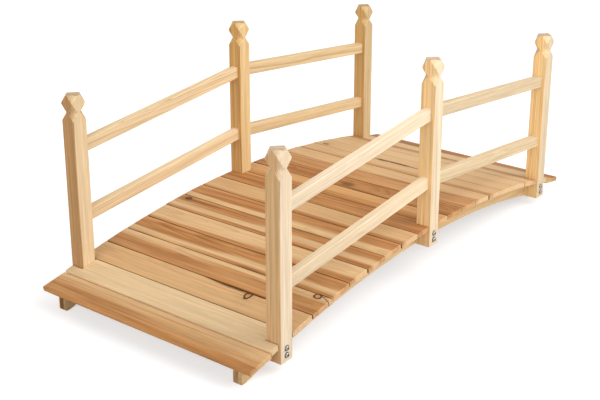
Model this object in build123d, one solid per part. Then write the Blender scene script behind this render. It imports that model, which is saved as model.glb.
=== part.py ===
from build123d import *
import os
from math import asin, cos, degrees, sin, sqrt, tan

# Arched garden footbridge of planed softwood, in millimetres.
# X runs along the walkway, Y to the left of it and Z up.
# The origin is on the ground, under the crown of the arch.

# Deck: flat planks laid side by side over an arc
deck_radius = 3000.0
plank_count = 20
plank_width = 73.5
plank_gap = 1.5
plank_thickness = 13.5
plank_arris = 1.2
plank_end_setback = 1.0
end_plank_drop = 4.5
least_tongue = 8.0

# Stringers: the two curved beams that carry the planks and stand on the ground
stringer_thickness = 26.0
stringer_depth = 45.0
deck_overhang = 16.0
foot_length = 10.0
seat_clearance = 0.1

# Posts: three on each side, bolted to the outer faces of the stringers
clear_width = 596.0
planks_past_posts = 2
joint_setback = 3.0
post_side = 42.0
post_length = 502.0
post_arris = 1.4
notch_clearance = 1.0

# Faceted head of a post: each corner is cut in to a neck, out to a belt and in to the top
head_run = 22.0
neck_share = 0.05
top_share = 0.1

# Rails: two in each bay, butted between the posts
rail_depth = 32.0
rail_thickness = 22.0
rail_arris = 1.4
upper_rail_height = 363.0
lower_rail_height = 179.0

# Every cut runs this far past the wood it takes away
overrun = 5.0

# Arc radii, from the deck's top down to the lower edge of the stringers
plank_pitch = plank_width + plank_gap
seat_radius = deck_radius - plank_thickness - seat_clearance
soffit_radius = seat_radius - stringer_depth

# The deck's ends, and the ends of the stringers under them
half_deck_angle = plank_count * plank_pitch / (2 * deck_radius)
half_deck = deck_radius * sin(half_deck_angle)
half_stringer = half_deck - deck_overhang
half_span = half_stringer - foot_length

# The lower arc meets the ground where the feet begin
arc_centre_height = -sqrt(soffit_radius**2 - half_span**2)

# Places across the bridge
stringer_face = clear_width / 2
post_line = stringer_face + post_side / 2
half_plank = stringer_face + post_side - plank_end_setback

# Stations of the posts along the bridge; the end posts stand just past a joint of the planks
half_post = post_side / 2
joint_angle = half_deck_angle - planks_past_posts * plank_pitch / deck_radius
end_station = deck_radius * sin(joint_angle) + joint_setback + half_post
post_stations = {"front": -end_station, "middle": 0, "back": end_station}


def arc_height(radius, x):
    """Height of an arc of the bridge at the distance x from its crown."""
    return arc_centre_height + sqrt(radius**2 - x**2)


def post_foot(x):
    """A post ends level with the stringer's lower edge at its side towards the crown."""
    return arc_height(soffit_radius, max(abs(x) - half_post, 0))


def plank_place(index):
    """Middle of a plank's top and its tilt; the end planks lie flatter, let into the stringers."""
    angle = (index - (plank_count - 1) / 2) * plank_pitch / deck_radius
    x = deck_radius * sin(angle)
    z = arc_centre_height + deck_radius * cos(angle)
    if 0 < index < plank_count - 1:
        return x, z, angle
    end = 1 if index else -1
    edge = end * plank_width / 2
    flatter = angle - end * asin(end_plank_drop / plank_width)
    x += edge * (cos(angle) - cos(flatter))
    z -= edge * (sin(angle) - sin(flatter))
    return x, z, flatter


def deck_plank(index):
    """One plank, notched at both ends where a post passes through it."""
    x, z, angle = plank_place(index)
    top_face = (Align.CENTER, Align.CENTER, Align.MAX)
    plank = Box(plank_width, 2 * half_plank, plank_thickness, align=top_face)
    plank = chamfer(plank.edges().filter_by(Axis.Y), plank_arris)
    for station in post_stations.values():
        for notch in plank_notches(x, angle, station):
            plank -= notch
    return Location((x, 0, z), (0, degrees(angle), 0)) * plank


def plank_notches(x, angle, station):
    """Square notches for the pair of posts at a station, in the plank's own place."""
    reach = half_post + notch_clearance
    sides = []
    for face in (station - reach, station + reach):
        for below in (0, plank_thickness):
            sides.append((face - x + below * sin(angle)) / cos(angle))
    low, high = min(sides), max(sides)
    edge = plank_width / 2
    if high <= -edge or low >= edge:
        return []
    if low < least_tongue - edge:
        low = -edge - overrun
    if high > edge - least_tongue:
        high = edge + overrun
    inner = stringer_face - notch_clearance
    depth = half_plank + overrun - inner
    notch = Box(high - low, depth, plank_thickness + 2 * overrun)
    middle = ((low + high) / 2, inner + depth / 2, -plank_thickness / 2)
    return [Pos(middle[0], side * middle[1], middle[2]) * notch for side in (1, -1)]


def stringer_end():
    """Corners of a stringer's back end, from the arc over the end plank's seat to the foot."""
    x, z, angle = plank_place(plank_count - 1)
    step = x - plank_width / 2 * cos(angle) - plank_thickness * sin(angle) - notch_clearance
    below = (plank_thickness + seat_clearance) / cos(angle)
    corners = [(step, arc_height(seat_radius, step))]
    for place in (step, half_stringer):
        corners.append((place, z - below - (place - x) * tan(angle)))
    return corners + [(half_stringer, 0), (half_span, 0)]


def stringer(side):
    """A beam between two arcs, stepped for the end planks and flat at its feet."""
    back = stringer_end()
    front = [(-x, z) for x, z in reversed(back)]
    seat = ThreePointArc(front[-1], (0, arc_height(seat_radius, 0)), back[0])
    soffit = ThreePointArc(back[-1], (0, arc_height(soffit_radius, 0)), front[0])
    outline = Plane.XZ * make_face([seat, Polyline(*back), soffit, Polyline(*front)])
    beam = extrude(outline, stringer_thickness / 2, both=True)
    return Pos(0, side * (stringer_face - stringer_thickness / 2), 0) * beam


def corner_cut():
    """What is taken off one corner of a post to form its faceted head."""
    corner = half_post * sqrt(2)
    outside = corner + overrun
    neck = half_post * (1 + neck_share) / sqrt(2)
    tip = half_post * (1 + top_share) / sqrt(2)
    belt_height = post_length - head_run
    neck_height = belt_height - head_run
    shoulder_height = neck_height - head_run
    start_height = shoulder_height - overrun * head_run / (corner - neck)
    outline = Polyline(
        (outside, start_height),
        (neck, neck_height),
        (corner, belt_height),
        (tip, post_length),
        (tip, post_length + overrun),
        (outside, post_length + overrun),
        close=True,
    )
    diagonal = Plane(origin=(0, 0, 0), x_dir=(1, 1, 0), z_dir=(1, -1, 0))
    return extrude(diagonal * make_face(outline), post_side, both=True)


def post_blank():
    """A square post with eased edges and its faceted head, standing on the origin."""
    blank = Box(post_side, post_side, post_length, align=(Align.CENTER, Align.CENTER, Align.MIN))
    blank = chamfer(blank.edges().filter_by(Axis.Z), post_arris)
    cut = corner_cut()
    for quarter in range(4):
        blank -= Rot(0, 0, 90 * quarter) * cut
    return blank


def rail(side, start, end, height):
    """A slanting rail between the facing sides of two posts, with upright end cuts."""
    rise = post_foot(end) - post_foot(start)
    slope = rise / (end - start)
    half_upright = rail_depth / 2 * sqrt(1 + slope**2)
    near, far = start + half_post, end - half_post
    near_height = post_foot(start) + height + half_post * slope
    far_height = post_foot(end) + height - half_post * slope
    outline = Polyline(
        (near, near_height - half_upright),
        (far, far_height - half_upright),
        (far, far_height + half_upright),
        (near, near_height + half_upright),
        close=True,
    )
    bar = extrude(Plane.XZ * make_face(outline), rail_thickness / 2, both=True)
    bar = chamfer(bar.edges().sort_by(SortBy.LENGTH)[-4:], rail_arris)
    return Pos(0, side * post_line, 0) * bar


def bridge():
    """Every piece of the bridge by name."""
    pieces = {}
    for index in range(plank_count):
        pieces[f"deck_plank_{index + 1:02d}"] = deck_plank(index)
    blank = post_blank()
    bays = {"front": ("front", "middle"), "back": ("middle", "back")}
    for name, side in (("left", 1), ("right", -1)):
        pieces[f"{name}_stringer"] = stringer(side)
        for place, x in post_stations.items():
            pieces[f"{name}_{place}_post"] = Pos(x, side * post_line, post_foot(x)) * blank
        for bay, (first, second) in bays.items():
            for level, height in (("upper", upper_rail_height), ("lower", lower_rail_height)):
                bar = rail(side, post_stations[first], post_stations[second], height)
                pieces[f"{name}_{bay}_{level}_rail"] = bar
    return pieces


os.makedirs("parts", exist_ok=True)
for name, piece in bridge().items():
    export_step(piece, f"parts/{name}.step")
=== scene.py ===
"""Arched garden footbridge: timber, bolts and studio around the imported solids."""

from math import cos, pi, radians, sin
from random import Random

import bmesh
import bpy
from bpy.props import FloatProperty, FloatVectorProperty, IntProperty, PointerProperty
from mathutils import Matrix, Vector, noise


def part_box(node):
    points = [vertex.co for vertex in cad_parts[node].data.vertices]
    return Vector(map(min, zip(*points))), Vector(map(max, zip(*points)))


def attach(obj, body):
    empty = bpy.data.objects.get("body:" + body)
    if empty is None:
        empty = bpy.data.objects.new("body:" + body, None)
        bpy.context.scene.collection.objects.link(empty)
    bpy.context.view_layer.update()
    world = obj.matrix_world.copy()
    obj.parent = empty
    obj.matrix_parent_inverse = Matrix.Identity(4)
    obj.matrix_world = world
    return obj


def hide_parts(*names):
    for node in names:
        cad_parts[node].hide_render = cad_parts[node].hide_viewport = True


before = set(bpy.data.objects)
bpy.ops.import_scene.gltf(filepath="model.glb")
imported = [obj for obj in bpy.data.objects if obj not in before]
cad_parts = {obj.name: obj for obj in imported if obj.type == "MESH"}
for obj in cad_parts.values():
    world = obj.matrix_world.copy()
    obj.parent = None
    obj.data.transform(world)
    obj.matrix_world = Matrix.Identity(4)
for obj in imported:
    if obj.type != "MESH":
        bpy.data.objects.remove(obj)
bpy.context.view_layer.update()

bl_info = {
    "name": "Arched garden footbridge",
    "version": (1, 0, 0),
    "blender": (4, 5, 0),
    "location": "3D View > Sidebar > Footbridge",
    "description": "Dresses a plank footbridge in softwood, bolts it together and lights it",
    "category": "Object",
}

BODY = "root"
MM = 0.001
PLANKS, BEAMS, POSTS, RAILS = (
    sorted(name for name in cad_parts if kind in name)
    for kind in ("plank", "stringer", "post", "rail"))

# How each board was sawn: the pale sapwood lies between two lines across its width,
# given as shares of the width from the front edge, and runs askew by a share over its length.
# The last four are how dark its rings are, how much lighter the whole board is than
# the middle one, how far its sapwood is from tan to cream, and how deep its heartwood's tone is.
BOARD_CUTS = {
    1: (0.57, 1.60, -0.14, 0.5, -0.05, -0.10, 0.90),
    2: (-0.9, 1.90, 0.00, 0.15, -0.02, 0.75, 0.30),
    3: (-0.9, 1.45, 0.20, 0.7, -0.07, -0.25, 0.80),
    4: (0.70, 1.20, 0.04, 1.0, -0.03, 0.05, 0.85),
    5: (0.13, 0.40, 0.06, 1.0, -0.03, 0.05, 0.90),
    6: (0.28, 1.60, 0.14, 0.8, -0.01, 0.10, 0.90),
    7: (0.22, 0.55, 0.04, 1.0, -0.04, 0.10, 0.95),
    8: (-0.5, 0.36, 0.04, 1.0, 0.00, 0.05, 0.90),
    9: (0.18, 1.60, 0.02, 0.7, -0.07, -0.25, 0.85),
    10: (1.40, 2.00, 0.00, 1.1, -0.02, 0.00, 0.95),
    11: (0.40, 0.98, 0.10, 1.0, -0.03, -0.80, 0.90),
    12: (1.50, 2.00, 0.00, 1.1, -0.08, 0.00, 1.00),
    13: (1.50, 2.00, 0.00, 0.9, 0.04, 0.00, 0.75),
    14: (0.15, 1.10, 0.20, 0.9, -0.02, -0.05, 0.45),
    15: (0.30, 1.10, 0.08, 1.0, -0.02, 0.00, 0.65),
    16: (-0.5, 1.60, 0.05, 0.7, -0.02, 0.00, 0.40),
    17: (-0.5, 1.45, 0.15, 0.7, 0.02, 0.15, 0.40),
    18: (-0.3, 0.62, 0.08, 0.8, 0.01, 0.15, 0.80),
    19: (-0.5, 1.50, 0.10, 0.8, 0.00, 0.35, 0.45),
    20: (-0.5, 0.25, 0.30, 0.9, -0.14, -0.20, 1.00),
}

# Width over which the sapwood gives way to the heartwood, and the boards where it is wider
SAPWOOD_FADE = 10.0
WIDE_FADES = {1: 30, 15: 16, 18: 16, 20: 16}

# Knots: board, place across from its middle, place along towards the right side, radius,
# length across the board as a share of the length along it, darkness
KNOTS = (
    (3, 26, 156, 8.5, 1.5, 0.10),
    (4, 28.5, 304, 9.5, 0.9, 0.10),
    (7, 23, -306, 9, 0.8, 0.80),
    (16, -15, -303, 8, 0.8, 0.50),
    (16, 30, -146, 5, 1.2, 0.90),
)

# Dark stains: board, place across and along as for knots, half width, half length, darkness
STAINS = (
    (3, 38, 105, 12, 90, 0.75),
    (4, 6, -105, 3, 30, 0.45),
    (4, 31, 320, 2.2, 8, 0.90),
    (4, 27, 329, 2.2, 8, 0.90),
    (4, 23, 336, 2.2, 7, 0.90),
    (5, -32, 90, 5, 60, 0.40),
    (7, 20, -250, 6, 70, 0.40),
    (12, -14, -8, 20, 30, 0.65),
    (12, -36, 70, 6, 90, 0.55),
    (15, 38, -70, 10, 30, 0.90),
    (16, -37, -30, 12, 100, 1.00),
    (18, 27, 26, 5, 14, 0.40),
)

# Worn edges: board, side of the board, start and end along it, width and depth of the wear
WORN_EDGES = (
    (3, 1, 40, 190, 8, 3.5),
    (16, -1, -105, 45, 7, 6),
    (18, 1, 322, 345, 12, 6),
)

# Posts and rails: how far each one's wood is from pale to honey, how much lighter it is
# than the middle one, and how dark a post's edge grain or a rail's rings are. A post's third
# number is the depth of painted shade, with its edge grain's tone, on its faces that look
# along the bridge; the far posts' yellower tone is partly painted shade for their weaker light.
POST_TONES_AND_SHADE = {
    "left_front_post": (0.45, 0.05, 1.50),
    "left_middle_post": (1.00, 0.08, 1.00),
    "left_back_post": (0.85, -0.10, 0.60),
    "right_front_post": (-0.10, 0.04, 0.90),
    "right_middle_post": (0.00, 0.00, -0.10),
    "right_back_post": (0.15, -0.08, -0.60),
}
RAIL_TONES = {
    "left_front_upper_rail": (0.50, 0.09, 1.00),
    "left_front_lower_rail": (0.50, 0.11, 1.00),
    "left_back_upper_rail": (0.70, 0.04, 0.90),
    "left_back_lower_rail": (0.70, 0.04, 0.90),
    "right_front_upper_rail": (-0.05, 0.01, 0.30),
    "right_front_lower_rail": (0.20, 0.00, 0.30),
    "right_back_upper_rail": (0.40, -0.15, 0.45),
    "right_back_lower_rail": (0.45, -0.08, 0.45),
}

# Beams: how much lighter each one's wood is than the middle one, and how dark its ends are;
# the left beam's darker wood and darker ends are painted shade, for the deeper shade it lies in
BEAM_TONES_AND_SHADE = {
    "left_stringer": (-0.10, 1.25),
    "right_stringer": (0.00, 0.85),
}

# Where the pith of a piece's log may lie across, above and along the piece, and how it may lean
BOARD_LOG = (((-0.03, 0.03), (-0.11, -0.05), (-3, 3)), ((-0.02, 0.02), (-0.06, 0.06)))
POST_LOG = (((-0.03, 0.03), (0.08, 0.16), (-3, 3)), ((-0.01, 0.01), (-0.01, 0.01)))
RAIL_LOG = (((0.03, 0.09), (-0.12, 0.12), (-3, 3)), ((-0.02, 0.02), (-0.05, 0.05)))
BOARD_SEED, POST_SEED, RAIL_SEED = 100, 300, 500

# Cut ends: how much of its own tone an end shows, how a beam's saw marks are squeezed upwards,
# and how much heartwood and dark wood is in the tone of boards' and posts' ends
BOARD_SAWING, POST_SAWING, RAIL_SAWING = 0.65, 0.9, 0.2
BEAM_SAW_SQUEEZE = 0.1
HEART_IN_ENDS = 0.6
DARK_IN_POST_ENDS = 0.65

# How the rings wander: their stretch along the grain, and how far they stray
BOARD_WAVES = (0.07, 9 * MM)
POST_WAVES = (0.12, 9 * MM)
RAIL_WAVES = (0.22, 14 * MM)

# Dark lines along the grain, and how much darker they are on a post's edge grain
PLAIN_LINES, RAIL_LINES = 0.55, 0.2
POST_EDGE_LINES = 2.4

# Lightness of streaks and fibres, the depth of flecks, and the finish of planed wood
STREAKS = (0.88, 1.08)
FIBRES = (0.95, 1.03)
FLECK_DEPTH = -0.10
WOOD_SPECULAR = 0.08
LATE_WOOD_POLISH = -0.08
SAWN_ROUGHNESS = 0.22
RELIEF_STRENGTH = 0.5
RELIEF_DEPTH = 0.25 * MM

# Eased edges: their width on boards, beams and posts, and what counts as an edge
BOARD_BEVEL, BEAM_BEVEL, POST_BEVEL = 0.8 * MM, 1.0 * MM, 0.7 * MM
RIM_ANGLE, FACET_ANGLE, SHARP_ANGLE = radians(40), radians(20), radians(24)
UPRIGHT = 0.97

# Cuts between which a board is shaped: millimetres from its long edges, and pitch along it
EDGE_INSETS = (2.6, 7, 13, 22)
SLICE_PITCH = 12 * MM

# A board's ragged ends, and how its worn edges fade out along it and slope across it
END_ZONE = 3 * MM
END_RAGGEDNESS = 0.6 * MM
WEAR_FADE = 40 * MM
WEAR_CURVE = 1.6

# Sizes that the bolt tree takes in, how dark the washers are and how dark the socket floors
# are painted for the shade in the holes, and the shape of its parts
BOLT_INPUTS = (
    "head", "head_height", "washer", "washer_thickness", "socket", "nut", "nut_height", "shank")
WASHER_DARKNESS, SOCKET_SHADE = 0.97, 0.95
ROUND_SIDES, SHANK_SIDES, HEX_SIDES = 36, 20, 6
DOME_SEGMENTS, DOME_RINGS = 28, 16
WASHER_TAPER = 0.95
SOCKET_FLOOR = 0.3

# Lamps: kind, direction, distance, and width as an angle or a length
LAMPS = {
    "key_light": ("SUN", (0.42, -0.66, 0.62), 4.0, radians(50)),
    "top_light": ("SUN", (0.3, -0.1, 1.0), 4.0, radians(90)),
    "front_light": ("SUN", (-1.0, -0.2, 0.2), 4.0, radians(70)),
    "side_lamp": ("AREA", (0.15, -1.0, 0.6), 1.7, 1.6),
    "near_lamp": ("AREA", (0.0, -0.6, 1.0), 1.2, 1.4),
    "fill_lamp": ("AREA", (0.1, 1.0, 0.02), 2.2, 1.2),
}
LAMP_TARGET = Vector((0.0, 0.0, 0.2))
FLOOR_REACH = 14.0
FILM_WIDTH = 36.0
WHITE = (1.0, 1.0, 1.0)


def display(red, green, blue):
    """Linear colour of a tone that is written as it shows on a screen, from 0 to 255."""
    shares = (red / 255, green / 255, blue / 255)
    return tuple(c / 12.92 if c <= 0.04045 else ((c + 0.055) / 1.055) ** 2.4 for c in shares)


def colour(name, description, default):
    """A colour in the panel."""
    return FloatVectorProperty(
        name=name, description=description, default=default, subtype="COLOR", size=3, min=0, max=1)


def length(name, description, millimetres, least=1.0):
    """A length in the panel, written here in millimetres."""
    return FloatProperty(
        name=name, description=description, default=millimetres * MM, unit="LENGTH", min=least * MM)


def amount(name, description, default, **settings):
    """A number in the panel that isn't below nought."""
    return FloatProperty(name=name, description=description, default=default, min=0, **settings)


class TimberLook(bpy.types.PropertyGroup):
    """Tones and grain of the wood."""

    deck_sapwood: colour("Deck sapwood", "Tan wood of the deck boards", display(226, 186, 137))
    deck_cream: colour("Deck cream", "Palest wood of the deck boards", display(232, 204, 161))
    deck_heartwood: colour(
        "Deck heartwood", "Orange brown wood of the deck boards", display(206, 145, 86))
    deck_brown: colour("Deck brown", "Darkest wood of the deck boards", display(172, 112, 60))
    rail_pale: colour(
        "Pale rail timber", "Palest wood of the posts and rails", display(239, 217, 186))
    rail_honey: colour(
        "Honey rail timber", "Yellowest wood of the posts and rails", display(233, 203, 152))
    # Painted shade: these two darken and warm a post's faces that look along the bridge, as if in
    # shade, besides the tone of their edge grain.
    light_side_shade: colour(
        "Light edge grain", "What a clear edge grain does to a post's tone", (0.97, 0.82, 0.58))
    dark_side_shade: colour(
        "Dark edge grain", "What a close edge grain does to a post's tone", (0.72, 0.57, 0.40))
    beam_timber: colour("Beam timber", "Wood of the two curved beams", display(238, 202, 150))
    late_wood: colour(
        "Late wood", "What the dark line of a growth ring does to the wood's tone",
        (0.62, 0.49, 0.31))
    # Painted shade: this darkens the long sides of the inner boards, where the joints between them
    # lie in shade.
    joint: colour(
        "Joint", "What the dirt in a joint does to the tone of a board's long sides",
        (0.42, 0.34, 0.27))
    board_end: colour(
        "Board ends", "Fresh saw cut at the ends of the deck boards", display(240, 206, 166))
    beam_end: colour("Beam ends", "Rough saw cut at the ends of the beams", display(120, 80, 42))
    knot: colour("Knot", "Bark ring and dark heart of a knot", display(78, 48, 25))
    knot_core: colour("Knot core", "Pale wood inside a sound knot", display(206, 150, 96))
    stain: colour("Stain", "Bark and dirt along a worn edge", display(80, 50, 24))
    ring_width: length(
        "Ring width", "Width of one year's growth in the deck and the beams", 3.2, 0.5)
    rail_ring_width: length(
        "Rail ring width", "Width of one year's growth in the posts and rails", 5.2, 0.5)
    unevenness: length("Unevenness", "How far a planed face strays from flat", 0.35, 0)
    end_stagger: length("End stagger", "How unevenly the boards are cut to length", 3.6, 0)
    roughness: amount("Roughness", "Roughness of planed wood", 0.56, subtype="FACTOR", max=1)


class BoltSizes(bpy.types.PropertyGroup):
    """Bolts that hold the posts to the beams."""

    head: length("Head", "Diameter of the domed head", 12.0)
    head_height: length("Head height", "Height of the dome over its washer", 3.6)
    washer: length("Washer", "Outer diameter of a washer", 15.0)
    washer_thickness: length("Washer thickness", "Thickness of a washer", 1.2, 0.1)
    socket: length("Socket", "Diameter of the six-sided hole in the head, across its corners", 6.8)
    nut: length("Nut", "Diameter of the nut across its corners", 11.5)
    nut_height: length("Nut height", "Height of the nut", 5.0)
    shank: length("Shank", "Diameter of the bolt", 6.0)
    lower_height: length("Lower bolt", "Height of the lower bolt above the post's end", 16.5, 0)
    upper_height: length("Upper bolt", "Height of the upper bolt above the post's end", 34.0, 0)
    seed: IntProperty(
        name="Seed", description="Seed for how far each bolt is turned", default=7, min=0)


class StudioSet(bpy.types.PropertyGroup):
    """Camera, lamps and floor."""

    camera_place: FloatVectorProperty(
        name="Camera", description="Place of the camera",
        default=(-2.3935, -1.7470, 1.3413), subtype="TRANSLATION", unit="LENGTH", size=3)
    camera_heading: FloatProperty(
        name="Heading", description="Direction of view in plan, from the length of the bridge",
        default=radians(37.68), subtype="ANGLE", unit="ROTATION")
    camera_pitch: FloatProperty(
        name="Pitch", description="How far the view looks down",
        default=radians(19.24), subtype="ANGLE", unit="ROTATION")
    lens: FloatProperty(
        name="Lens", description="Focal length in millimetres on a 36 mm frame",
        default=69.0, min=10)
    rise: FloatProperty(
        name="Rise", description="Vertical shift of the lens as a share of the picture's width",
        default=-0.1)
    key_light: amount("Key light", "Strength of the wide light at the right", 0.83)
    top_light: amount("Top light", "Strength of the wide light overhead", 0.76)
    front_light: amount("Front light", "Strength of the wide light in front of the bridge", 2.46)
    side_lamp: amount(
        "Side lamp", "Power of the lamp close to the right side", 10.1, unit="POWER")
    near_lamp: amount("Near lamp", "Power of the lamp over the right side", 3.5, unit="POWER")
    fill_lamp: amount("Fill lamp", "Power of the lamp at the left side", 8.0, unit="POWER")
    room_light: amount("Room light", "Even light from all round", 0.22)
    floor_tone: amount("Floor tone", "How pale the floor is", 0.60, subtype="FACTOR", max=1)
    floor_lift: amount(
        "Floor lift", "White that the camera sees over the floor's own tone", 0.58,
        subtype="FACTOR", max=1)


def titled(name):
    """A socket's label from the name of its value."""
    return name.replace("_", " ").title()


class NodeBench:
    """Short ways of adding nodes to one tree."""

    def __init__(self, tree):
        self.tree = tree

    def add(self, kind, **settings):
        node = self.tree.nodes.new(kind)
        for name, value in settings.items():
            setattr(node, name, value)
        return node

    def feed(self, socket, value):
        if isinstance(value, bpy.types.NodeSocket):
            self.tree.links.new(value, socket)
        elif value is not None:
            socket.default_value = value

    def fed(self, kind, inputs, **settings):
        """A new node with values or links in its named inputs."""
        node = self.add(kind, **settings)
        for name, value in inputs.items():
            self.feed(node.inputs[name], value)
        return node

    def feed_all(self, sockets, values):
        for socket, value in zip(sockets, values):
            self.feed(socket, value)

    def math(self, operation, *values, clamp=False):
        node = self.add("ShaderNodeMath", operation=operation, use_clamp=clamp)
        self.feed_all(node.inputs, values)
        return node.outputs[0]

    def times(self, value, share, plus=None):
        """A value times another, and plus a third if there is one."""
        return self.math("MULTIPLY" if plus is None else "MULTIPLY_ADD", value, share, plus)

    def vector(self, operation, *values, scale=None):
        node = self.add("ShaderNodeVectorMath", operation=operation)
        self.feed_all(node.inputs, values)
        if scale is not None:
            self.feed(node.inputs["Scale"], scale)
        single = operation in ("LENGTH", "DOT_PRODUCT")
        return node.outputs["Value" if single else "Vector"]

    def drawn_out(self, place, share):
        """The place squeezed along the grain, so that a pattern on it is drawn out there."""
        return self.vector("MULTIPLY", place, (1.0, 1.0, share))

    def ramp(self, value, low, high, start=0.0, end=1.0):
        node = self.add("ShaderNodeMapRange", interpolation_type="SMOOTHSTEP")
        self.feed_all(node.inputs, (value, low, high, start, end))
        return node.outputs["Result"]

    def noise(self, place, scale, detail=2.0, output="Fac"):
        inputs = {"Vector": place, "Scale": scale, "Detail": detail}
        return self.fed("ShaderNodeTexNoise", inputs).outputs[output]

    def swing(self, place, scale, detail):
        """Noise that swings about nought."""
        return self.math("SUBTRACT", self.noise(place, scale, detail), 0.5)

    def mix(self, factor, first, second, mode="MIX"):
        node = self.add("ShaderNodeMix", data_type="RGBA", blend_type=mode)
        self.feed(node.inputs["Factor"], factor)
        colours = [s for s in node.inputs if s.type == "RGBA"]
        for socket, value in zip(colours, (first, second)):
            linked = isinstance(value, bpy.types.NodeSocket)
            self.feed(socket, value if linked else (*value, 1.0))
        return next(s for s in node.outputs if s.type == "RGBA")

    def split(self, place):
        node = self.add("ShaderNodeSeparateXYZ")
        self.feed(node.inputs[0], place)
        return node.outputs

    def join(self, *values):
        node = self.add("ShaderNodeCombineXYZ")
        self.feed_all(node.inputs, values)
        return node.outputs[0]

    def group(self, name, build, **values):
        """Outputs of a node group, which is built the first time it is asked for."""
        tree = bpy.data.node_groups.get(name) or build(name)
        inputs = {titled(label): value for label, value in values.items()}
        return self.fed("ShaderNodeGroup", inputs, node_tree=tree).outputs

    def close(self, kind, shader):
        """Ends the tree in an output node of that kind."""
        self.fed(kind, {"Surface": shader.outputs[0]})


def bare_bench(owner):
    """A bench on the emptied node tree of a material or a world."""
    owner.use_nodes = True
    owner.node_tree.nodes.clear()
    return NodeBench(owner.node_tree)


def shader_group(name, vectors, numbers, masks):
    """A new node group with named sockets: its bench, its inputs and its output sockets."""
    tree = bpy.data.node_groups.new(name, "ShaderNodeTree")
    for labels, side, kind in (
            (vectors, "INPUT", "Vector"), (numbers, "INPUT", "Float"), (masks, "OUTPUT", "Float")):
        for label in labels:
            tree.interface.new_socket(label, in_out=side, socket_type=f"NodeSocket{kind}")
    bench = NodeBench(tree)
    given = bench.add("NodeGroupInput").outputs
    return bench, given, bench.add("NodeGroupOutput").inputs


def build_rings(name):
    """Growth rings round a pith: how far into the dark late wood each point is."""
    bench, given, out = shader_group(
        name, ("Place", "Pith", "Lean", "Stretch"), ("Width", "Wander", "Bend"), ("Late",))
    place = given["Place"]
    leant = bench.vector("SCALE", given["Lean"], scale=bench.split(place)["Z"])
    stretched = bench.vector("MULTIPLY", place, given["Stretch"])
    drift = bench.vector("SUBTRACT", bench.noise(stretched, 17, 1.5, "Color"), (0.5, 0.5, 0.5))
    drift = bench.vector("SCALE", drift, scale=given["Wander"])
    spot = bench.vector("SUBTRACT", place, given["Pith"])
    spot = bench.vector("ADD", bench.vector("ADD", spot, leant), drift)
    radius = bench.vector("LENGTH", bench.drawn_out(spot, 0))
    years = bench.math("DIVIDE", bench.math("ADD", radius, given["Bend"]), given["Width"])
    uneven = bench.fed("ShaderNodeTexNoise", {"W": years, "Scale": 0.31}, noise_dimensions="1D")
    years = bench.times(uneven.outputs["Fac"], 3, years)
    season = bench.math("FRACT", years)
    late = bench.math("POWER", season, 2.2)
    late = bench.times(late, bench.ramp(season, 0.86, 1, 1, 0))
    whole = bench.math("FLOOR", years)
    year = bench.fed("ShaderNodeTexWhiteNoise", {"W": whole}, noise_dimensions="1D")
    harvest = bench.times(year.outputs["Value"], 0.75, 0.35)
    bench.feed(out["Late"], bench.times(late, harvest))
    return bench.tree


def build_sapwood(name):
    """Pale sapwood between two wavering lines that run along a board."""
    bench, given, out = shader_group(
        name, ("Place",), ("Start", "End", "Askew", "Blur"), ("Heart", "Brown"))
    place = given["Place"]
    parts = bench.split(place)
    waver = bench.swing(bench.vector("MULTIPLY", place, (1, 0.4, 0.16)), 13, 2.5)
    across = bench.times(waver, 0.032, parts["X"])
    across = bench.times(parts["Z"], given["Askew"], across)
    sides = []
    for line in (given["Start"], given["End"]):
        near = bench.math("SUBTRACT", line, given["Blur"])
        far = bench.math("ADD", line, given["Blur"])
        sides.append(bench.ramp(across, near, far))
    pale = bench.times(sides[0], bench.math("SUBTRACT", 1, sides[1]))
    streak = bench.swing(bench.drawn_out(place, 0.03), 85, 3)
    mixed = bench.times(streak, 2.1, bench.math("SUBTRACT", 1, pale))
    bench.feed(out["Heart"], bench.ramp(mixed, 0, 1.15))
    patchy = bench.noise(bench.drawn_out(place, 0.09), 42, 3.5)
    bench.feed(out["Brown"], bench.ramp(patchy, 0.32, 0.68))
    return bench.tree


def build_fibre(name):
    """Streaks, fine fibres, short dark flecks and dark lines along the grain."""
    bench, given, out = shader_group(name, ("Place",), (), ("Streak", "Fibre", "Fleck", "Line"))
    patterns = {
        "Streak": (0.035, 130, 3, None),
        "Fibre": (0.02, 900, 2, None),
        "Fleck": (0.11, 420, 1, (0.68, 0.80)),
        "Line": (0.014, 260, 2.5, (0.52, 0.70)),
    }
    for label, (share, scale, detail, limits) in patterns.items():
        pattern = bench.noise(bench.drawn_out(given["Place"], share), scale, detail)
        bench.feed(out[label], bench.ramp(pattern, *limits) if limits else pattern)
    return bench.tree


def build_knot(name):
    """A branch grown over: how it bends the rings, its dark bark ring and its core."""
    bench, given, out = shader_group(
        name, ("Place", "Spot", "Shape"), ("Radius", "Darkness"), ("Bend", "Bark", "Core"))
    radius, darkness = given["Radius"], given["Darkness"]
    offset = bench.vector("SUBTRACT", given["Place"], given["Spot"])
    offset = bench.vector("MULTIPLY", offset, given["Shape"])
    ragged = bench.swing(given["Place"], 190, 2)
    far = bench.math("DIVIDE", bench.vector("LENGTH", offset), radius)
    far = bench.times(ragged, 0.7, far)
    swell = bench.math("EXPONENT", bench.times(bench.times(far, far), -0.16))
    bench.feed(out["Bend"], bench.times(bench.times(swell, radius), 2.2))
    ring = bench.times(bench.ramp(far, 0.58, 0.80), bench.ramp(far, 1.05, 1.45, 1, 0))
    inside = bench.ramp(far, 0.6, 0.9, 1, 0)
    core = bench.times(inside, darkness)
    halo = bench.times(swell, bench.times(darkness, 0.3, 0.12))
    mask = bench.math("MAXIMUM", bench.times(ring, 0.98), bench.math("MAXIMUM", core, halo))
    bench.feed(out["Bark"], mask)
    bench.feed(out["Core"], bench.math("SUBTRACT", inside, core))
    return bench.tree


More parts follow.
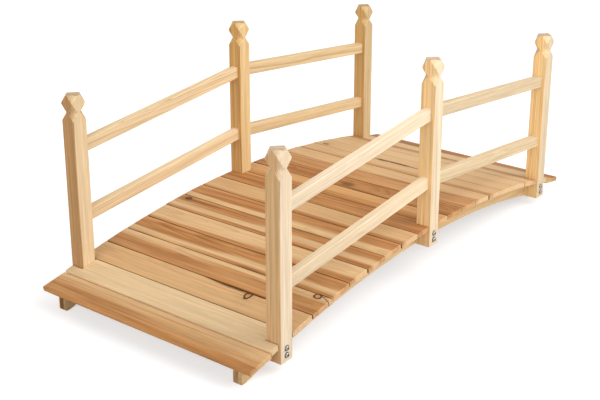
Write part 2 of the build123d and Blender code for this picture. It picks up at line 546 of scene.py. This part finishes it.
def build_stain(name):
    """A ragged dark smear along the grain."""
    bench, given, out = shader_group(name, ("Place", "Spot", "Size"), ("Darkness",), ("Stain",))
    offset = bench.vector("SUBTRACT", given["Place"], given["Spot"])
    offset = bench.vector("DIVIDE", offset, given["Size"])
    ragged = bench.swing(bench.drawn_out(given["Place"], 0.12), 260, 3)
    far = bench.times(ragged, 1.1, bench.vector("LENGTH", offset))
    smear = bench.ramp(far, 0.35, 1.15, 1, 0)
    bench.feed(out["Stain"], bench.times(smear, given["Darkness"]))
    return bench.tree


class Grain:
    """Where a piece's grain runs: a place in it, and its directions across, up and along."""

    def __init__(self, origin, across, up):
        self.origin = Vector(origin)
        self.across = Vector(across).normalized()
        up = Vector(up).normalized()
        self.along = self.across.cross(up)
        self.turn = Matrix((self.across, up, self.along)).transposed()

    def inside(self, point):
        return self.turn.transposed() @ (point - self.origin)

    def outside(self, point):
        return self.origin + self.turn @ point


def timber_material(name, grain, look, tones, log, cut_end, rings, band=None, strength=0.5,
                    shade=0.0, edge=None, edge_lines=1.0, waves=BOARD_WAVES, lines=PLAIN_LINES,
                    saw_squeeze=1.0, knots=(), stains=()):
    """Planed softwood with rings, fibres and end grain that follow one piece's grain."""
    material = bpy.data.materials.new(name)
    bench = bare_bench(material)
    place = bench.add("ShaderNodeTexCoord").outputs["Object"]
    inputs = {"Vector": place, "Location": grain.origin, "Rotation": grain.turn.to_euler()}
    place = bench.fed("ShaderNodeMapping", inputs, vector_type="TEXTURE").outputs["Vector"]

    bend = bark = core = 0.0
    for across, along, radius, stretch, darkness in knots:
        knot = bench.group(
            "grown_knot", build_knot, place=place, spot=(across * MM, 0, along * MM),
            shape=(1 / stretch, 0.15, 1), radius=radius * MM, darkness=darkness)
        bend = bench.math("ADD", knot["Bend"], bend)
        bark = bench.math("MAXIMUM", knot["Bark"], bark)
        core = bench.math("MAXIMUM", knot["Core"], core)
    pith, lean = log
    growth = bench.group(
        "growth_rings", build_rings, place=place, pith=pith, lean=lean,
        stretch=(1, 1, waves[0]), width=rings, wander=waves[1], bend=bend)
    fibre = bench.group("wood_fibre", build_fibre, place=place)

    normal = bench.add("ShaderNodeNewGeometry").outputs["Normal"]

    def facing(direction, low, high):
        turned = bench.vector("DOT_PRODUCT", normal, direction)
        return bench.ramp(bench.math("ABSOLUTE", turned), low, high)

    sideways = facing(grain.across, 0.35, 0.95)
    endways = facing(grain.along, 0.45, 0.85)

    sap, heart, brown = tones
    tone, depth = sap, strength
    if band:
        start, end, askew, blur = band
        sapwood = bench.group(
            "sapwood_band", build_sapwood, place=place, start=start, end=end, askew=askew,
            blur=blur)
        heart = bench.mix(sapwood["Brown"], heart, brown)
        tone = bench.mix(sapwood["Heart"], sap, heart)
        depth = bench.times(sapwood["Heart"], 0.6 * strength, 0.4 * strength)
    if edge_lines != 1.0:
        depth = bench.times(bench.ramp(sideways, 0, 1, 1, edge_lines), depth)
    line = bench.times(fibre["Line"], lines, growth["Late"])
    late = bench.math("MULTIPLY", line, depth, clamp=True)
    dark_line = bench.mix(late, WHITE, look.late_wood)
    tone = bench.mix(1, tone, dark_line, "MULTIPLY")
    streak = bench.ramp(fibre["Streak"], 0.25, 0.75, *(level + shade for level in STREAKS))
    fine = bench.ramp(fibre["Fibre"], 0.3, 0.7, *FIBRES)
    fleck = bench.times(fibre["Fleck"], FLECK_DEPTH, 1)
    lightness = bench.times(bench.times(streak, fine), fleck)
    tone = bench.mix(1, tone, bench.vector("SCALE", WHITE, scale=lightness), "MULTIPLY")
    # Painted shade on faces that face across the grain: the deck boards' long sides in their
    # joints, and a post's faces that look along the bridge, together with their edge grain's tone.
    if edge:
        tone = bench.mix(1, tone, bench.mix(sideways, WHITE, edge), "MULTIPLY")
    end_colour, end_share = cut_end
    rough_cut = bench.vector("MULTIPLY", place, (1, saw_squeeze, 1))
    saw_marks = bench.ramp(bench.noise(rough_cut, 140, 4), 0.35, 0.65, 0.4, 1)
    saw_marks = bench.times(saw_marks, bench.times(endways, end_share))
    tone = bench.mix(saw_marks, tone, end_colour)
    if knots:
        tone = bench.mix(core, tone, look.knot_core)
        tone = bench.mix(bark, tone, look.knot)
    for across, along, half_width, half_length, darkness in stains:
        smear = bench.group(
            "dark_stain", build_stain, place=place, spot=(across * MM, 0, along * MM),
            size=(half_width * MM, 1, half_length * MM), darkness=darkness)
        tone = bench.mix(smear["Stain"], tone, look.stain)

    rough = bench.times(late, LATE_WOOD_POLISH, look.roughness)
    rough = bench.times(endways, SAWN_ROUGHNESS, rough)
    height = bench.times(late, 0.6, bench.times(fibre["Fibre"], 0.7))
    relief = bench.fed("ShaderNodeBump", {
        "Strength": RELIEF_STRENGTH, "Distance": RELIEF_DEPTH, "Height": height})
    surface = bench.fed("ShaderNodeBsdfPrincipled", {
        "Base Color": tone, "Roughness": rough, "Specular IOR Level": WOOD_SPECULAR,
        "Normal": relief.outputs["Normal"]})
    bench.close("ShaderNodeOutputMaterial", surface)
    return material


def blend(first, second, share):
    """A colour between two others."""
    return tuple(a + (b - a) * share for a, b in zip(first, second))


def log_place(seed, log):
    """Where a piece lay in its log: a random pith and lean."""
    draw = Random(seed)
    pith, lean = ([draw.uniform(*span) for span in spans] for spans in log)
    return pith, (*lean, 0)


def solid_copy(node):
    """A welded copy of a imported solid, with its flat faces whole again."""
    shape = bmesh.new()
    shape.from_mesh(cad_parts[node].data)
    bmesh.ops.remove_doubles(shape, verts=shape.verts, dist=0.01 * MM)
    bmesh.ops.dissolve_limit(
        shape, angle_limit=radians(0.05), verts=shape.verts, edges=shape.edges)
    shape.normal_update()
    return shape


def slice_at(shape, grain, direction, places):
    """Cuts a piece across, so that its faces can be shaped between the cuts."""
    for place in places:
        point = grain.origin + direction * place
        geometry = shape.verts[:] + shape.edges[:] + shape.faces[:]
        bmesh.ops.bisect_plane(
            shape, geom=geometry, dist=0.001 * MM, plane_co=point, plane_no=direction)


def ease(shape, edges, width):
    """Takes the sharpness off some edges of a piece."""
    bmesh.ops.bevel(
        shape, geom=edges, offset=width, offset_type="OFFSET", segments=1,
        affect="EDGES", clamp_overlap=True)


def bent_edges(shape, angle):
    """Edges where two faces of a piece meet at more than an angle."""
    return [e for e in shape.edges if len(e.link_faces) == 2 and e.calc_face_angle() > angle]


def steps(low, high, pitch):
    """Even places between two ends, no further apart than the pitch."""
    count = max(1, round((high - low) / pitch))
    return [low + (high - low) * index / count for index in range(1, count)]


def reach(shape, grain):
    """Lowest and highest corner of a piece in its own directions."""
    points = [grain.inside(v.co) for v in shape.verts]
    return [Vector(pick(p[axis] for p in points) for axis in range(3)) for pick in (min, max)]


def placed(name, data):
    """A new object in the scene."""
    item = bpy.data.objects.new(name, data)
    bpy.context.scene.collection.objects.link(item)
    return item


def keep_piece(shape, name, node, material):
    """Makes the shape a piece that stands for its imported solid."""
    mesh = bpy.data.meshes.new(name)
    bmesh.ops.recalc_face_normals(shape, faces=shape.faces)
    shape.to_mesh(mesh)
    shape.free()
    mesh.polygons.foreach_set("use_smooth", [True] * len(mesh.polygons))
    mesh.set_sharp_from_angle(angle=SHARP_ANGLE)
    mesh.materials.append(material)
    piece = placed(name, mesh)
    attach(piece, BODY)
    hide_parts(node)


def board_grain(shape):
    """A deck board's own directions: back, up and towards the right side of the bridge."""
    top = max((f for f in shape.faces if f.normal.z > 0.8), key=lambda f: f.calc_area())
    up = Vector((top.normal.x, 0, top.normal.z)).normalized()
    across = Vector((up.z, 0, -up.x))
    flat = Grain((0, 0, 0), across, up)
    low, high = reach(shape, flat)
    return Grain(flat.outside(Vector(((low.x + high.x) / 2, high.y, 0))), across, up)


def window(value, start, end, fade):
    """One between start and end, and falling to nothing over the fade outside them."""
    short = max(start - value, value - end, 0)
    share = max(0.0, 1 - short / fade)
    return share * share * (3 - 2 * share)


def rows_for(table, number):
    """A board's rows of a table, without its number."""
    return [row[1:] for row in table if row[0] == number]


def shape_board(shape, grain, number, look):
    """Gives a board its planed waviness, its own cut ends and its worn edges.

    Noise is read at the place times a pitch, in a row of its own for each board.
    """
    draw = Random(number)
    low, high = reach(shape, grain)
    stagger = {side: draw.random() * look.end_stagger for side in (-1, 1)}
    tread = draw.uniform(0, look.unevenness)
    wear = rows_for(WORN_EDGES, number)
    for vert in shape.verts:
        spot = grain.inside(vert.co)
        upper = spot.y > (low.y + high.y) / 2
        sample = Vector((spot.x * 22, spot.z * 5, number * 3.7))
        if upper:
            dip = look.unevenness * (0.5 + 0.5 * noise.noise(sample))
            spot.y -= dip + tread
        sway = noise.noise(Vector((spot.z * 3.1, number * 5.3, 0)))
        spot.x += sway * look.unevenness
        side = 1 if spot.z > 0 else -1
        end = high.z if side > 0 else -low.z
        if abs(spot.z) > end - END_ZONE:
            sample = Vector((spot.x * 60, spot.y * 60, number * 9.1 + side))
            ragged = 0.5 + 0.5 * noise.noise(sample)
            spot.z -= side * (stagger[side] + ragged * END_RAGGEDNESS)
        for edge, start, stop, width, depth in wear:
            inward = (high.x if edge > 0 else -low.x) - edge * spot.x
            if upper and inward < width * MM:
                share = window(spot.z, start * MM, stop * MM, WEAR_FADE)
                slope = (1 - inward / (width * MM)) ** WEAR_CURVE
                rough = 0.75 + 0.5 * noise.noise(Vector((spot.z * 45, number, spot.x * 30)))
                spot.y -= depth * MM * share * slope * rough
        vert.co = grain.outside(spot)


class FOOTBRIDGE_OT_deck(bpy.types.Operator):
    """Make the deck boards, each sawn from its own part of a log"""

    bl_idname = "footbridge.deck"
    bl_label = "Deck boards"

    def execute(self, context):
        look = context.scene.footbridge_timber
        for node in PLANKS:
            number = int(node.rsplit("_", 1)[1])
            shape = solid_copy(node)
            grain = board_grain(shape)
            low, high = reach(shape, grain)
            ends = [e for e in shape.edges
                    if all(abs(abs(v.co.y) - high.z) < 0.05 * MM for v in e.verts)]
            ease(shape, ends, BOARD_BEVEL)
            width, span = high.x - low.x, high.z - low.z
            lines = [side * (width / 2 - inset * MM) for side in (-1, 1) for inset in EDGE_INSETS]
            slice_at(shape, grain, grain.across, lines + [0])
            slice_at(shape, grain, grain.along, steps(low.z, high.z, SLICE_PITCH))
            shape_board(shape, grain, number, look)
            start, end, askew, strength, shade, paleness, depth = BOARD_CUTS[number]
            band = ((start - 0.5) * width, (end - 0.5) * width, -askew * width / span,
                    WIDE_FADES.get(number, SAPWOOD_FADE) * MM)
            sapwood = blend(look.deck_sapwood, look.deck_cream, paleness)
            heartwood = blend(sapwood, look.deck_heartwood, depth)
            brown = blend(sapwood, look.deck_brown, depth)
            heart_share = 1 - max(min(end, 1) - max(start, 0), 0)
            end_tone = blend(look.board_end, look.deck_cream, max(paleness, 0))
            end_tone = blend(end_tone, heartwood, HEART_IN_ENDS * heart_share)
            # The inner boards get the joint tone on their long sides: painted shade in the joints.
            material = timber_material(
                f"deck_board_{number:02d}", grain, look, (sapwood, heartwood, brown),
                log_place(BOARD_SEED + number, BOARD_LOG), (end_tone, BOARD_SAWING),
                look.ring_width, band, strength, shade,
                edge=tuple(look.joint) if 2 < number < len(PLANKS) else None,
                knots=rows_for(KNOTS, number), stains=rows_for(STAINS, number))
            keep_piece(shape, f"board_{number:02d}", node, material)
        return {"FINISHED"}


class FOOTBRIDGE_OT_beams(bpy.types.Operator):
    """Make the two curved beams under the deck"""

    bl_idname = "footbridge.beams"
    bl_label = "Curved beams"

    def execute(self, context):
        look = context.scene.footbridge_timber
        for index, node in enumerate(BEAMS):
            shape = solid_copy(node)
            low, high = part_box(node)
            grain = Grain((low + high) / 2, (0, 1, 0), (0, 0, 1))
            ease(shape, bent_edges(shape, RIM_ANGLE), BEAM_BEVEL)
            # The left beam's lower lightness and darker ends are painted shade.
            shade, darkness = BEAM_TONES_AND_SHADE[node]
            log = (0.05 - 0.1 * index, 0.4, index * 1.7), (0.0, 0.03, 0)
            material = timber_material(
                f"beam_{index + 1}", grain, look, (look.beam_timber,) * 3, log,
                (look.beam_end, darkness), look.ring_width, shade=shade,
                saw_squeeze=BEAM_SAW_SQUEEZE)
            keep_piece(shape, node.replace("stringer", "beam"), node, material)
        return {"FINISHED"}


class FOOTBRIDGE_OT_posts(bpy.types.Operator):
    """Make the six posts with their faceted heads"""

    bl_idname = "footbridge.posts"
    bl_label = "Posts"

    def execute(self, context):
        look = context.scene.footbridge_timber
        for index, node in enumerate(POSTS):
            shape = solid_copy(node)
            low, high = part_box(node)
            grain = Grain((low + high) / 2, (1, 0, 0), (0, 1, 0))
            facets = [e for e in bent_edges(shape, FACET_ANGLE)
                      if abs((e.verts[0].co - e.verts[1].co).normalized().z) < UPRIGHT]
            ease(shape, facets, POST_BEVEL)
            # The third number sets the painted shade on the post's faces that look along the
            # bridge.
            warmth, shade, side_shade_depth = POST_TONES_AND_SHADE[node]
            tone = blend(look.rail_pale, look.rail_honey, warmth)
            material = timber_material(
                f"post_{index + 1}", grain, look, (tone,) * 3,
                log_place(POST_SEED + index, POST_LOG),
                (blend(tone, look.beam_end, DARK_IN_POST_ENDS), POST_SAWING),
                look.rail_ring_width, shade=shade,
                edge=blend(look.light_side_shade, look.dark_side_shade, side_shade_depth),
                edge_lines=POST_EDGE_LINES, waves=POST_WAVES)
            keep_piece(shape, node.replace("_post", "_upright"), node, material)
        return {"FINISHED"}


class FOOTBRIDGE_OT_rails(bpy.types.Operator):
    """Make the eight rails between the posts"""

    bl_idname = "footbridge.rails"
    bl_label = "Rails"

    def execute(self, context):
        look = context.scene.footbridge_timber
        for index, node in enumerate(RAILS):
            shape = solid_copy(node)
            low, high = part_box(node)
            longest = max(shape.edges, key=lambda e: e.calc_length())
            run = (longest.verts[1].co - longest.verts[0].co).normalized()
            run = run if run.x > 0 else -run
            grain = Grain((low + high) / 2, (0, 1, 0), (-run.z, 0, run.x))
            warmth, shade, strength = RAIL_TONES[node]
            tone = blend(look.rail_pale, look.rail_honey, warmth)
            material = timber_material(
                f"rail_{index + 1}", grain, look, (tone,) * 3,
                log_place(RAIL_SEED + index, RAIL_LOG), (tone, RAIL_SAWING),
                look.rail_ring_width, strength=strength, shade=shade, waves=RAIL_WAVES,
                lines=RAIL_LINES)
            keep_piece(shape, node.replace("_rail", "_bar"), node, material)
        return {"FINISHED"}


def zinc_material():
    """Bright zinc on steel, a little dulled, dark and dull where the mesh says: on the washer, and
    on the socket's floor as painted shade.
    """
    material = bpy.data.materials.new("zinc_bolt")
    bench = bare_bench(material)
    spangle = bench.noise(bench.add("ShaderNodeTexCoord").outputs["Object"], 1400, 3)
    dirt = bench.add("ShaderNodeAttribute", attribute_name="dirt").outputs["Fac"]
    zinc = bench.mix(
        bench.ramp(spangle, 0.3, 0.7), display(112, 110, 107), display(186, 184, 180))
    surface = bench.fed("ShaderNodeBsdfPrincipled", {
        "Base Color": bench.mix(dirt, zinc, display(34, 30, 27)),
        "Metallic": bench.math("SUBTRACT", 1, dirt),
        "Roughness": bench.ramp(spangle, 0.2, 0.8, 0.20, 0.34)})
    bench.close("ShaderNodeOutputMaterial", surface)
    return material


def bolt_tree(material):
    """Geometry nodes that set a bolt, its washers and its nut at each point, pointing outwards."""
    tree = bpy.data.node_groups.new("post_bolts", "GeometryNodeTree")
    sockets = [("Geometry", "Geometry"), *((titled(size), "Float") for size in BOLT_INPUTS),
               ("Through", "Float"), ("Seed", "Int")]
    for label, kind in sockets:
        tree.interface.new_socket(label, in_out="INPUT", socket_type=f"NodeSocket{kind}")
    tree.interface.new_socket("Geometry", in_out="OUTPUT", socket_type="NodeSocketGeometry")
    bench = NodeBench(tree)
    given = bench.add("NodeGroupInput").outputs
    head, head_height = given["Head"], given["Head Height"]
    washer, thickness = given["Washer"], given["Washer Thickness"]

    def made(kind, result, settings=None, **values):
        inputs = {titled(name): value for name, value in values.items()}
        return bench.fed(f"GeometryNode{kind}", inputs, **(settings or {})).outputs[result]

    def moved(mesh, z, scale=None):
        return made("Transform", "Geometry", geometry=mesh,
                    translation=bench.join(0, 0, z), scale=scale)

    def disc(sides, diameter, height, start, taper=1):
        radius = bench.times(diameter, 0.5)
        cone = made("MeshCone", "Mesh", vertices=sides, radius_bottom=radius,
                    radius_top=bench.times(radius, taper), depth=height)
        return moved(cone, start)

    def darkened(mesh, share):
        inputs = {"Geometry": mesh, "Name": "dirt"}
        node = bench.fed(
            "GeometryNodeStoreNamedAttribute", inputs, data_type="FLOAT", domain="POINT")
        value = next(i for i in node.inputs if i.name == "Value" and i.type == "VALUE")
        bench.feed(value, share)
        return node.outputs["Geometry"]

    def joined(*meshes):
        node = bench.add("GeometryNodeJoinGeometry")
        for mesh in reversed(meshes):
            tree.links.new(mesh, node.inputs["Geometry"])
        return node.outputs["Geometry"]

    half_head = bench.times(head, 0.5)
    ball = made("MeshUVSphere", "Mesh", segments=DOME_SEGMENTS, rings=DOME_RINGS,
                radius=half_head)
    squat = bench.join(1, 1, bench.math("DIVIDE", head_height, half_head))
    dome = moved(ball, thickness, squat)
    side = bench.times(head, 2)
    under = made("MeshCube", "Mesh", size=bench.join(side, side, side))
    under = moved(under, bench.math("SUBTRACT", thickness, head))
    socket_floor = bench.times(head_height, SOCKET_FLOOR, thickness)
    hole = disc(HEX_SIDES, given["Socket"], head_height, socket_floor)
    carve = bench.fed("GeometryNodeMeshBoolean", {"Mesh 1": dome}, operation="DIFFERENCE")
    for cutter in (under, hole):
        tree.links.new(cutter, carve.inputs["Mesh 2"])
    # A dark, dull outer washer.
    outer_washer = darkened(disc(ROUND_SIDES, washer, thickness, 0, WASHER_TAPER), WASHER_DARKNESS)
    # A dark disc on the socket's floor: painted shade in the hole.
    filling = disc(
        HEX_SIDES, bench.times(given["Socket"], 0.98), bench.times(head_height, 0.1), socket_floor)
    filling = darkened(filling, SOCKET_SHADE)

    inner_face = bench.times(given["Through"], -1)
    washer_face = bench.math("SUBTRACT", inner_face, thickness)
    nut_face = bench.math("SUBTRACT", washer_face, given["Nut Height"])
    tip = bench.times(given["Shank"], 0.5)
    tip_face = bench.math("SUBTRACT", nut_face, tip)
    inner_washer = disc(ROUND_SIDES, washer, thickness, washer_face)
    nut = disc(HEX_SIDES, given["Nut"], given["Nut Height"], nut_face)
    thread = disc(SHANK_SIDES, given["Shank"], tip, tip_face)
    bolt = joined(outer_washer, carve.outputs["Mesh"], filling, inner_washer, nut, thread)

    outward = made(
        "InputNamedAttribute", "Attribute", {"data_type": "FLOAT_VECTOR"}, name="outward")
    bolts = made("InstanceOnPoints", "Instances", points=given["Geometry"], instance=bolt,
                 rotation=outward)
    any_turn = bench.fed(
        "FunctionNodeRandomValue", {"Seed": given["Seed"]}, data_type="FLOAT_VECTOR")
    limits = [s for s in any_turn.inputs if s.type == "VECTOR"]
    bench.feed_all(limits, ((0, 0, 0), (0, 0, pi)))
    turn = next(s for s in any_turn.outputs if s.type == "VECTOR")
    bolts = made("RotateInstances", "Instances", instances=bolts, rotation=turn)
    solid = made("RealizeInstances", "Geometry", geometry=bolts)
    solid = made("SetMaterial", "Geometry", geometry=solid, material=material)
    bench.fed("NodeGroupOutput", {"Geometry": solid})
    return tree


class FOOTBRIDGE_OT_bolts(bpy.types.Operator):
    """Bolt every post to its beam, with a washer and a nut inside"""

    bl_idname = "footbridge.bolts"
    bl_label = "Bolts"

    def execute(self, context):
        sizes = context.scene.footbridge_bolts
        points, turns = [], []
        through = 0.0
        for node in POSTS:
            low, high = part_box(node)
            side = "left" if node.startswith("left") else "right"
            beam_low, beam_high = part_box(f"{side}_stringer")
            face, inner = (high.y, beam_low.y) if side == "left" else (low.y, beam_high.y)
            through = abs(face - inner)
            for height in (sizes.lower_height, sizes.upper_height):
                points.append(((low.x + high.x) / 2, face, low.z + height))
                turns.append((-pi / 2 if side == "left" else pi / 2, 0, 0))
        mesh = bpy.data.meshes.new("bolt_points")
        mesh.from_pydata(points, [], [])
        outward = mesh.attributes.new("outward", "FLOAT_VECTOR", "POINT")
        for row, turn in zip(outward.data, turns):
            row.vector = turn
        piece = placed("post_bolts", mesh)
        tree = bolt_tree(zinc_material())
        setter = piece.modifiers.new("bolts", "NODES")
        setter.node_group = tree
        values = {titled(size): getattr(sizes, size) for size in BOLT_INPUTS}
        values.update({"Through": through, "Seed": sizes.seed})
        for item in tree.interface.items_tree:
            if item.in_out == "INPUT" and item.name in values:
                setter[item.identifier] = values[item.name]
        context.view_layer.update()
        made = piece.evaluated_get(context.evaluated_depsgraph_get())
        solid = bpy.data.meshes.new_from_object(made)
        piece.modifiers.remove(setter)
        piece.data = solid
        solid.name = "post_bolts"
        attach(piece, BODY)
        return {"FINISHED"}


def seen_share(bench):
    """One for rays that show the background: straight, mirrored or seen through glass."""
    rays = bench.add("ShaderNodeLightPath").outputs
    seen = bench.math("MAXIMUM", rays["Is Camera Ray"], rays["Is Glossy Ray"])
    return bench.math("MAXIMUM", seen, rays["Is Transmission Ray"])


class FOOTBRIDGE_OT_stage(bpy.types.Operator):
    """Set the floor, the lamps and the camera"""

    bl_idname = "footbridge.stage"
    bl_label = "Studio"

    def execute(self, context):
        scene = context.scene
        studio = scene.footbridge_studio
        scene.view_settings.view_transform = "Standard"
        self.make_floor(studio)
        self.make_room(scene, studio)
        self.make_lamps(studio)
        self.make_camera(scene, studio)
        return {"FINISHED"}

    def make_floor(self, studio):
        mesh = bpy.data.meshes.new("studio_floor")
        signs = ((-1, -1), (1, -1), (1, 1), (-1, 1))
        corners = [(x * FLOOR_REACH, y * FLOOR_REACH, 0) for x, y in signs]
        mesh.from_pydata(corners, [], [(0, 1, 2, 3)])
        material = bpy.data.materials.new("studio_floor")
        bench = bare_bench(material)
        cloth = bench.fed("ShaderNodeBsdfDiffuse", {"Color": (*[studio.floor_tone] * 3, 1)})
        lift = bench.times(seen_share(bench), studio.floor_lift)
        glow = bench.fed("ShaderNodeEmission", {"Strength": lift})
        both = bench.add("ShaderNodeAddShader")
        bench.feed_all(both.inputs, (cloth.outputs[0], glow.outputs[0]))
        bench.close("ShaderNodeOutputMaterial", both)
        mesh.materials.append(material)
        floor = placed("studio_floor", mesh)

    def make_room(self, scene, studio):
        room = bpy.data.worlds.new("studio_room")
        bench = bare_bench(room)
        seen = seen_share(bench)
        rest = bench.times(bench.math("SUBTRACT", 1, seen), studio.room_light)
        light = bench.fed("ShaderNodeBackground", {
            "Color": (*WHITE, 1), "Strength": bench.math("ADD", rest, seen)})
        bench.close("ShaderNodeOutputWorld", light)
        scene.world = room

    def make_lamps(self, studio):
        for name, (kind, direction, distance, width) in LAMPS.items():
            data = bpy.data.lights.new(name, kind)
            data.energy = getattr(studio, name)
            setattr(data, "angle" if kind == "SUN" else "size", width)
            lamp = placed(name, data)
            towards = Vector(direction).normalized()
            lamp.location = LAMP_TARGET + towards * distance
            lamp.rotation_euler = towards.to_track_quat("Z", "Y").to_euler()

    def make_camera(self, scene, studio):
        data = bpy.data.cameras.new("studio_camera")
        data.lens = studio.lens
        data.sensor_width = FILM_WIDTH
        data.shift_y = studio.rise
        camera = placed("studio_camera", data)
        camera.location = studio.camera_place
        heading, pitch = studio.camera_heading, studio.camera_pitch
        ahead = Vector((cos(heading) * cos(pitch), sin(heading) * cos(pitch), -sin(pitch)))
        camera.rotation_euler = ahead.to_track_quat("-Z", "Y").to_euler()
        scene.camera = camera


class FOOTBRIDGE_PT_panel(bpy.types.Panel):
    """Sizes, tones and steps of the footbridge"""

    bl_idname = "FOOTBRIDGE_PT_panel"
    bl_label = "Footbridge"
    bl_space_type = "VIEW_3D"
    bl_region_type = "UI"
    bl_category = "Footbridge"

    def draw(self, context):
        for name in SETTINGS:
            box = self.layout.box()
            group = getattr(context.scene, name)
            for label in group.bl_rna.properties.keys():
                if label not in ("rna_type", "name"):
                    box.prop(group, label)
        for operator in OPERATORS:
            self.layout.operator(operator.bl_idname)


SETTINGS = {
    "footbridge_timber": TimberLook,
    "footbridge_bolts": BoltSizes,
    "footbridge_studio": StudioSet,
}
OPERATORS = (
    FOOTBRIDGE_OT_deck,
    FOOTBRIDGE_OT_beams,
    FOOTBRIDGE_OT_posts,
    FOOTBRIDGE_OT_rails,
    FOOTBRIDGE_OT_bolts,
    FOOTBRIDGE_OT_stage,
)


def register():
    for group in SETTINGS.values():
        bpy.utils.register_class(group)
    for name, group in SETTINGS.items():
        setattr(bpy.types.Scene, name, PointerProperty(type=group))
    for operator in OPERATORS:
        bpy.utils.register_class(operator)
    bpy.utils.register_class(FOOTBRIDGE_PT_panel)


def unregister():
    bpy.utils.unregister_class(FOOTBRIDGE_PT_panel)
    for operator in reversed(OPERATORS):
        bpy.utils.unregister_class(operator)
    for name, group in reversed(SETTINGS.items()):
        delattr(bpy.types.Scene, name)
        bpy.utils.unregister_class(group)


def main():
    register()
    bpy.ops.footbridge.deck()
    bpy.ops.footbridge.beams()
    bpy.ops.footbridge.posts()
    bpy.ops.footbridge.rails()
    bpy.ops.footbridge.bolts()
    bpy.ops.footbridge.stage()


if __name__ == "__main__":
    main()
